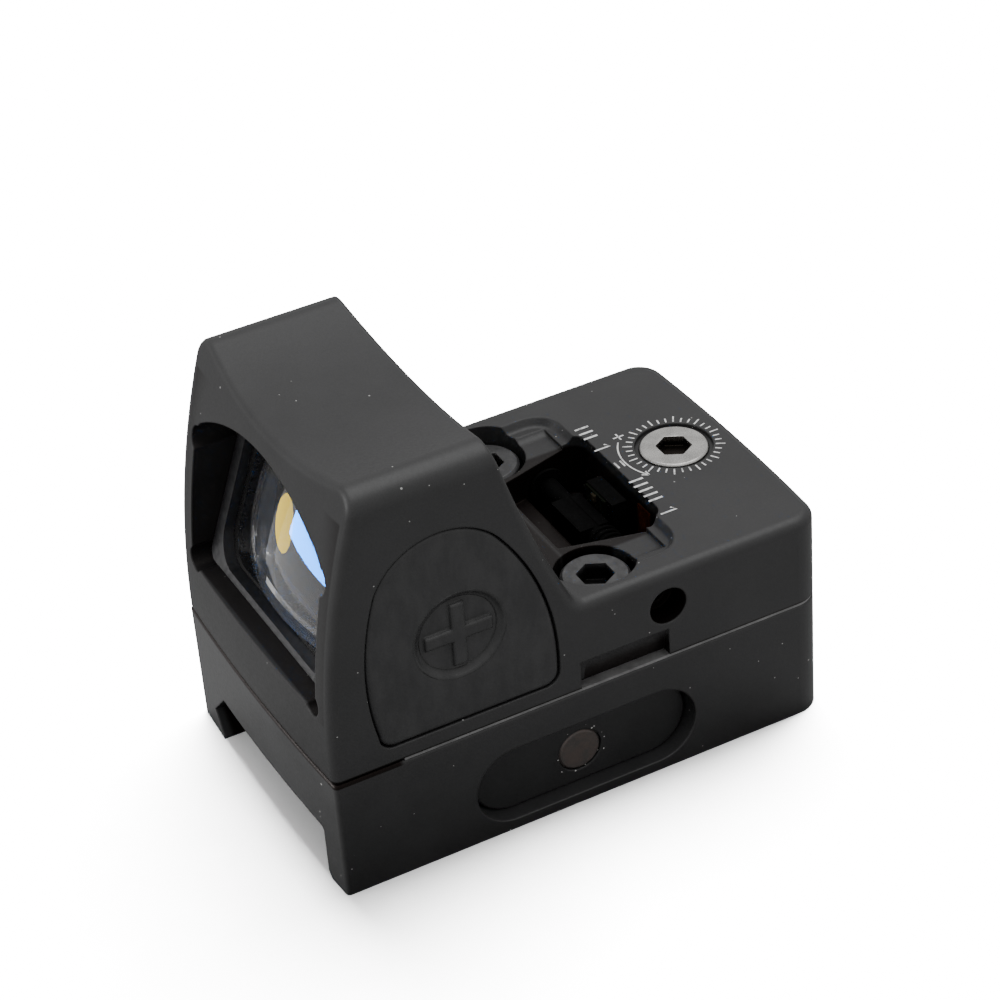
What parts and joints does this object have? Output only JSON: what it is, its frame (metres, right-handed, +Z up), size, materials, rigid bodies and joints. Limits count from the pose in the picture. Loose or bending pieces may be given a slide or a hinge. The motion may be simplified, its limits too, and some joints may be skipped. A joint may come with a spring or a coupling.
{
  "type": "red dot finder",
  "caption": "Open reflex sight with a hooded lens, side brightness buttons and two adjusters, on a low base that clamps to a cross-slot rail.",
  "frame": {"origin": "centre of the base's footprint, on the surface that it stands on", "axes": "+Y from the lens to the eye end, +X to the plus button side, +Z up"},
  "size_m": [0.0282, 0.0458, 0.037],
  "materials": {
    "anodised_aluminium": "matt black anodised, fine bead-blast grain",
    "lens_glass": "coated",
    "retainer_black": "satin black",
    "black_adhesive": "satin",
    "button_rubber": "matt",
    "black_steel": "black oxide",
    "bare_steel": "turned",
    "spring_steel": "bright",
    "plate_steel": "rolled",
    "seal_rubber": "smooth",
    "brass_block": "machined",
    "black_plastic": "moulded",
    "board_laminate": "solder mask",
    "chip_black": "moulded",
    "chip_ceramic": "sintered",
    "led_body": "clear resin",
    "flex_amber": "polyimide film",
    "cell_steel": "nickel plated",
    "wire_red": "extruded"
  },
  "bodies": {
    "sight": {"mount_base": "anodised_aluminium", "sealing_plate": "plate_steel", "locating_dowels": "bare_steel", "housing": "anodised_aluminium", "lens": "lens_glass", "lens_retainer": "retainer_black", "lens_bond": "black_adhesive", "mount_screws": "black_steel", "plus_button_cover": "button_rubber", "minus_button_cover": "button_rubber", "switch_domes": "spring_steel", "switch_boards": "board_laminate", "switch_leads": "flex_amber", "elevation_o_ring": "seal_rubber", "elevation_click_washer": "spring_steel", "windage_o_ring": "seal_rubber", "windage_click_washer": "spring_steel", "windage_spring": "spring_steel", "emitter_flex": "flex_amber", "circuit_board": "board_laminate", "board_chip": "chip_black", "board_parts": "chip_ceramic", "battery": "cell_steel", "battery_spring_contact": "spring_steel", "battery_side_contact": "spring_steel", "battery_leads": "wire_red", "battery_gasket": "seal_rubber", "cavity_gasket": "seal_rubber"},
    "plus_pad": {"plus_button": "button_rubber"},
    "minus_pad": {"minus_button": "button_rubber"},
    "elevation_adjuster": {"elevation_screw": "bare_steel", "elevation_retaining_ring": "black_steel"},
    "elevation_block": {"elevation_nut": "brass_block", "elevation_spring": "spring_steel"},
    "windage_adjuster": {"windage_screw": "bare_steel", "windage_retaining_ring": "black_steel"},
    "windage_block": {"windage_slider": "brass_block"},
    "carriage": {"emitter_carriage": "black_plastic", "emitter_board": "board_laminate", "emitter_led": "led_body"},
    "bolt": {"cross_bolt": "black_steel"},
    "jaw": {"clamp_jaw": "anodised_aluminium"}
  },
  "joints": [
    {"name": "plus_press", "type": "slide", "parent": "sight", "child": "plus_pad", "axis": [-1, 0, 0], "range_m": [0, 0.0004], "stiffness_N_per_m": 4000, "springref_m": -0.0001},
    {"name": "minus_press", "type": "slide", "parent": "sight", "child": "minus_pad", "axis": [1, 0, 0], "range_m": [0, 0.0004], "stiffness_N_per_m": 4000, "springref_m": -0.0001},
    {"name": "elevation_lift", "type": "slide", "parent": "sight", "child": "elevation_block", "axis": [0, 0, 1], "range_m": [-0.0004375, 0.0004375], "deforming": ["elevation_spring"]},
    {"name": "elevation_turn", "type": "hinge", "parent": "sight", "child": "elevation_adjuster", "pos_m": [-0.001, 0.01745, 0.0185], "axis": [0, 0, 1], "range_deg": [-451, 451]},
    {"name": "windage_shift", "type": "slide", "parent": "sight", "child": "windage_block", "axis": [1, 0, 0], "range_m": [-0.0004375, 0.0004375]},
    {"name": "windage_turn", "type": "hinge", "parent": "sight", "child": "windage_adjuster", "pos_m": [-0.0133, 0.00783, 0.01643], "axis": [1, 0, 0], "range_deg": [-451, 451]},
    {"name": "carriage_lift", "type": "slide", "parent": "windage_block", "child": "carriage", "axis": [0, 0, 1], "range_m": [-0.0004375, 0.0004375]},
    {"name": "jaw_open", "type": "slide", "parent": "sight", "child": "jaw", "axis": [1, 0, 0], "range_m": [0, 0.00117]},
    {"name": "bolt_turn", "type": "hinge", "parent": "sight", "child": "bolt", "pos_m": [-0.0135, -0.0002, 0.00412], "axis": [-1, 0, 0], "range_deg": [0, 601]}
  ],
  "couplings": [
    {"joint": "elevation_turn", "follows": "elevation_lift", "rad_per_m": -17952},
    {"joint": "carriage_lift", "follows": "elevation_lift", "ratio": 1},
    {"joint": "windage_turn", "follows": "windage_shift", "rad_per_m": -17952},
    {"joint": "bolt_turn", "follows": "jaw_open", "rad_per_m": 8976}
  ]
}
